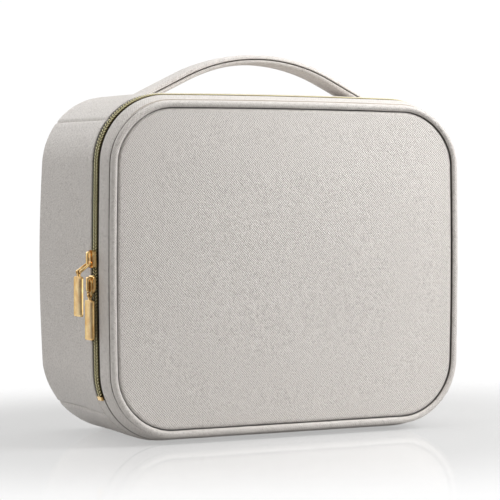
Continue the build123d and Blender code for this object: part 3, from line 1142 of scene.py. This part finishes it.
def paddedDivider(name, node, thinAxis, look):
    low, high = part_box(node)
    centre, size = (low + high) / 2, high - low
    deselectAll()
    bpy.ops.mesh.primitive_cube_add(size=1, location=centre)
    pad = newest(name)
    size[thinAxis] -= 2 * look["swell"]
    pad.scale = size
    settle(pad)
    bpy.ops.object.mode_set(mode="EDIT")
    bpy.ops.mesh.select_all(action="SELECT")
    bpy.ops.mesh.bevel(offset=look["soft"], segments=4, affect="EDGES")
    bpy.ops.mesh.select_all(action="SELECT")
    bpy.ops.mesh.subdivide(number_cuts=14)
    bpy.ops.object.mode_set(mode="OBJECT")
    others = [i for i in range(3) if i != thinAxis]
    for vertex in pad.data.vertices:
        full = 1
        for i in others:
            share = min(1, abs(vertex.co[i] - centre[i]) / (size[i] / 2))
            full *= 1 - share ** 6
        side = vertex.co[thinAxis] - centre[thinAxis]
        vertex.co[thinAxis] += look["swell"] * full * side / (size[thinAxis] / 2)
    smoothShade(pad, 50)
    finishPiece(pad, "case", dividerCloth, "divider_cloth", node)
    # a bound edge along the front
    deselectAll()
    bindAt = low.y + look["bindWidth"] / 2 - look["bindAhead"]
    bpy.ops.mesh.primitive_cube_add(size=1, location=(centre.x, bindAt, centre.z))
    bind = newest(name + "_binding")
    wide = Vector(size)
    wide.y = look["bindWidth"]
    wide[thinAxis] = size[thinAxis] + 2 * look["bindProud"]
    long = others[0] if others[0] != 1 else others[1]
    wide[long] -= look["bindShort"]
    bind.scale = wide
    settle(bind)
    roundAll(bind, look["bindSoft"])
    smoothShade(bind, 50)
    finishPiece(bind, "case", bindingCloth, "divider_cloth")


paddedDivider("pad_long", "divider_long", 2, dividerLook)
paddedDivider("pad_lower", "divider_lower", 0, dividerLook)
paddedDivider("pad_upper_left", "divider_upper_left", 0, dividerLook)
paddedDivider("pad_upper_right", "divider_upper_right", 0, dividerLook)
print("dividers made")


sleeveLook = {"pockets": 9, "swell": 1.5 * mm, "rows": 16, "thick": 0.5 * mm, "fullness": 1.06, "hem": 5 * mm,
              "hemThick": 2.6 * mm, "hemSoft": 0.9 * mm, "hemProud": 1.1 * mm}
bandLook = {"pockets": 12, "swell": 1.4 * mm, "rows": 4, "thick": 0.5 * mm, "fullness": 1.06}


def pocketSheet(name, node, material, slotName, look):
    low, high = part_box(node)
    size = high - low
    deselectAll()
    pockets, rows = look["pockets"], look["rows"]
    bpy.ops.mesh.primitive_grid_add(x_subdivisions=pockets * 12, y_subdivisions=rows, size=1)
    cloth = newest(name)
    for vertex in cloth.data.vertices:
        across, up = vertex.co.x + 0.5, vertex.co.y + 0.5
        fold = abs(math.sin(math.pi * pockets * across)) ** 0.6
        loose = min(1, up * 4) if rows > 6 else 1  # a sleeve is flat along its sewn bottom
        y = low.y + look["thick"] / 2 + look["swell"] * fold * loose
        vertex.co = (low.x + size.x * across, y, low.z + size.z * up)
    faceOut(cloth, Vector((0, 1, 0)))
    addModifier(cloth, "SOLIDIFY", thickness=look["thick"], offset=0)
    smoothShade(cloth, 50)
    finishPiece(cloth, "lid", material, slotName, node)
    return cloth


pocketSheet("sleeve", "brush_sleeve", liningCloth, "sleeve_cloth", sleeveLook)
pocketSheet("band", "brush_band", elasticCloth, "elastic", bandLook)


def sleeveHem(look):
    low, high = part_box("brush_sleeve")
    deselectAll()
    hemAt = ((low.x + high.x) / 2, low.y + look["hemProud"], high.z)
    bpy.ops.mesh.primitive_cube_add(size=1, location=hemAt)
    hem = newest("sleeve_hem")
    hem.scale = (high.x - low.x, look["hemThick"], look["hem"])
    settle(hem)
    roundAll(hem, look["hemSoft"])
    smoothShade(hem, 50)
    finishPiece(hem, "lid", bindingCloth, "sleeve_cloth")


sleeveHem(sleeveLook)
print("lid fittings made")


keptNodes = [
    (gold, ["zipper_stop_left", "zipper_stop_right"]),
    (stiffBoard, ["back_board", "lid_board", "handle_anchor_left", "handle_anchor_right"]),
    (liningCloth, ["wall_lining", "back_lining", "lid_lining", "lid_wall_lining"]),
]
for material, nodes in keptNodes:
    for node in nodes:
        mesh = frame["nodes"][node].data
        mesh.materials.clear()
        mesh.materials.append(material)
print("kept pieces finished")


floorLook = {"size": 6, "below": 0.3 * mm, "fadeFrom": 0.15, "fadeTo": 0.36, "body": 0.36, "gloss": 0.38,
             "shine": 0.08}


def makeFloor(look):
    # a white sheet with a faint gloss, which fades away outwards
    made = Finish("floor_finish", Roughness=0.7, Base_Color=(0.98, 0.98, 0.98, 1))
    x, y, _ = made.axes(made.place())
    away = ((x * 0.8).power(2) + y.power(2)).power(0.5)
    fade = made.ramp(away, look["fadeFrom"], look["fadeTo"], 1.0, 0.0)
    glossy = made.node("ShaderNodeBsdfGlossy", Roughness=look["shine"])
    clear = made.node("ShaderNodeBsdfTransparent")
    sheet = made.mixShaders(fade * look["body"], clear, Wire(made.tree, made.shader.outputs[0]))
    made.show(made.mixShaders(fade * look["gloss"], sheet, glossy), "Material Output")
    deselectAll()
    bpy.ops.mesh.primitive_plane_add(size=look["size"], location=(0, 0, -look["below"]))
    floor = newest("floor")
    settle(floor)
    floor.data.materials.append(made.material)


lights = [
    {"name": "key", "spot": (0.50, -0.34, 0.52), "size": 0.36, "power": 5.1},
    {"name": "top", "spot": (0.10, 0.15, 1.2), "size": 1.0, "power": 6},
    {"name": "side", "spot": (-1.5, -0.2, 0.6), "size": 0.7, "power": 5.8},
    {"name": "back", "spot": (-0.3, 1.6, 1.0), "size": 1.2, "power": 7},
]


def placeLights(middle):
    for light in lights:
        bpy.ops.object.light_add(type="AREA", location=light["spot"])
        lamp = bpy.context.object
        lamp.name = "light_" + light["name"]
        lamp.data.size = light["size"]
        lamp.data.energy = light["power"]
        look = middle - Vector(light["spot"])
        lamp.rotation_euler = look.to_track_quat("-Z", "Y").to_euler()


worldLook = {
    "plain": 0.24, "white": 1.02, "warmth": (1, 0.985, 0.965, 1),
    "patches": [  # facing, where it begins and where it is full, and how strong
        ((0, 0, 1), 0.05, 0.5, 0.24),
        ((0.60, -0.80, 0), 0.94, 0.99, 1.3),
        ((-0.47, 0.88, 0), 0.93, 0.985, 0.60),
        ((-0.97, -0.24, 0), 0.78, 0.92, -0.09),
    ],
}


def makeWorld(look):
    # the camera sees plain white; the case is lit by a studio with lighter and darker sides
    scene = bpy.context.scene
    scene.world = bpy.data.worlds.new("studio")
    scene.world.use_nodes = True
    made = Nodes(scene.world.node_tree)
    x, y, z = made.axes(made.place("Generated"))
    strength = look["plain"]
    for facing, start, end, amount in look["patches"]:
        side = x * facing[0] + y * facing[1] + z * facing[2]
        strength = made.ramp(side, start, end, 0.0, 1.0) * amount + strength
    lit = made.node("ShaderNodeBackground", Color=look["warmth"], Strength=strength)
    seen = made.node("ShaderNodeBackground", Color=(1, 1, 1, 1), Strength=look["white"])
    made.show(made.mixShaders(made.node("ShaderNodeLightPath"), lit, seen), "World Output")
    scene.view_settings.view_transform = "Standard"


makeFloor(floorLook)
placeLights(Vector((0, 0, cameraSetup["middle"])))
makeWorld(worldLook)
print("floor and lights placed")
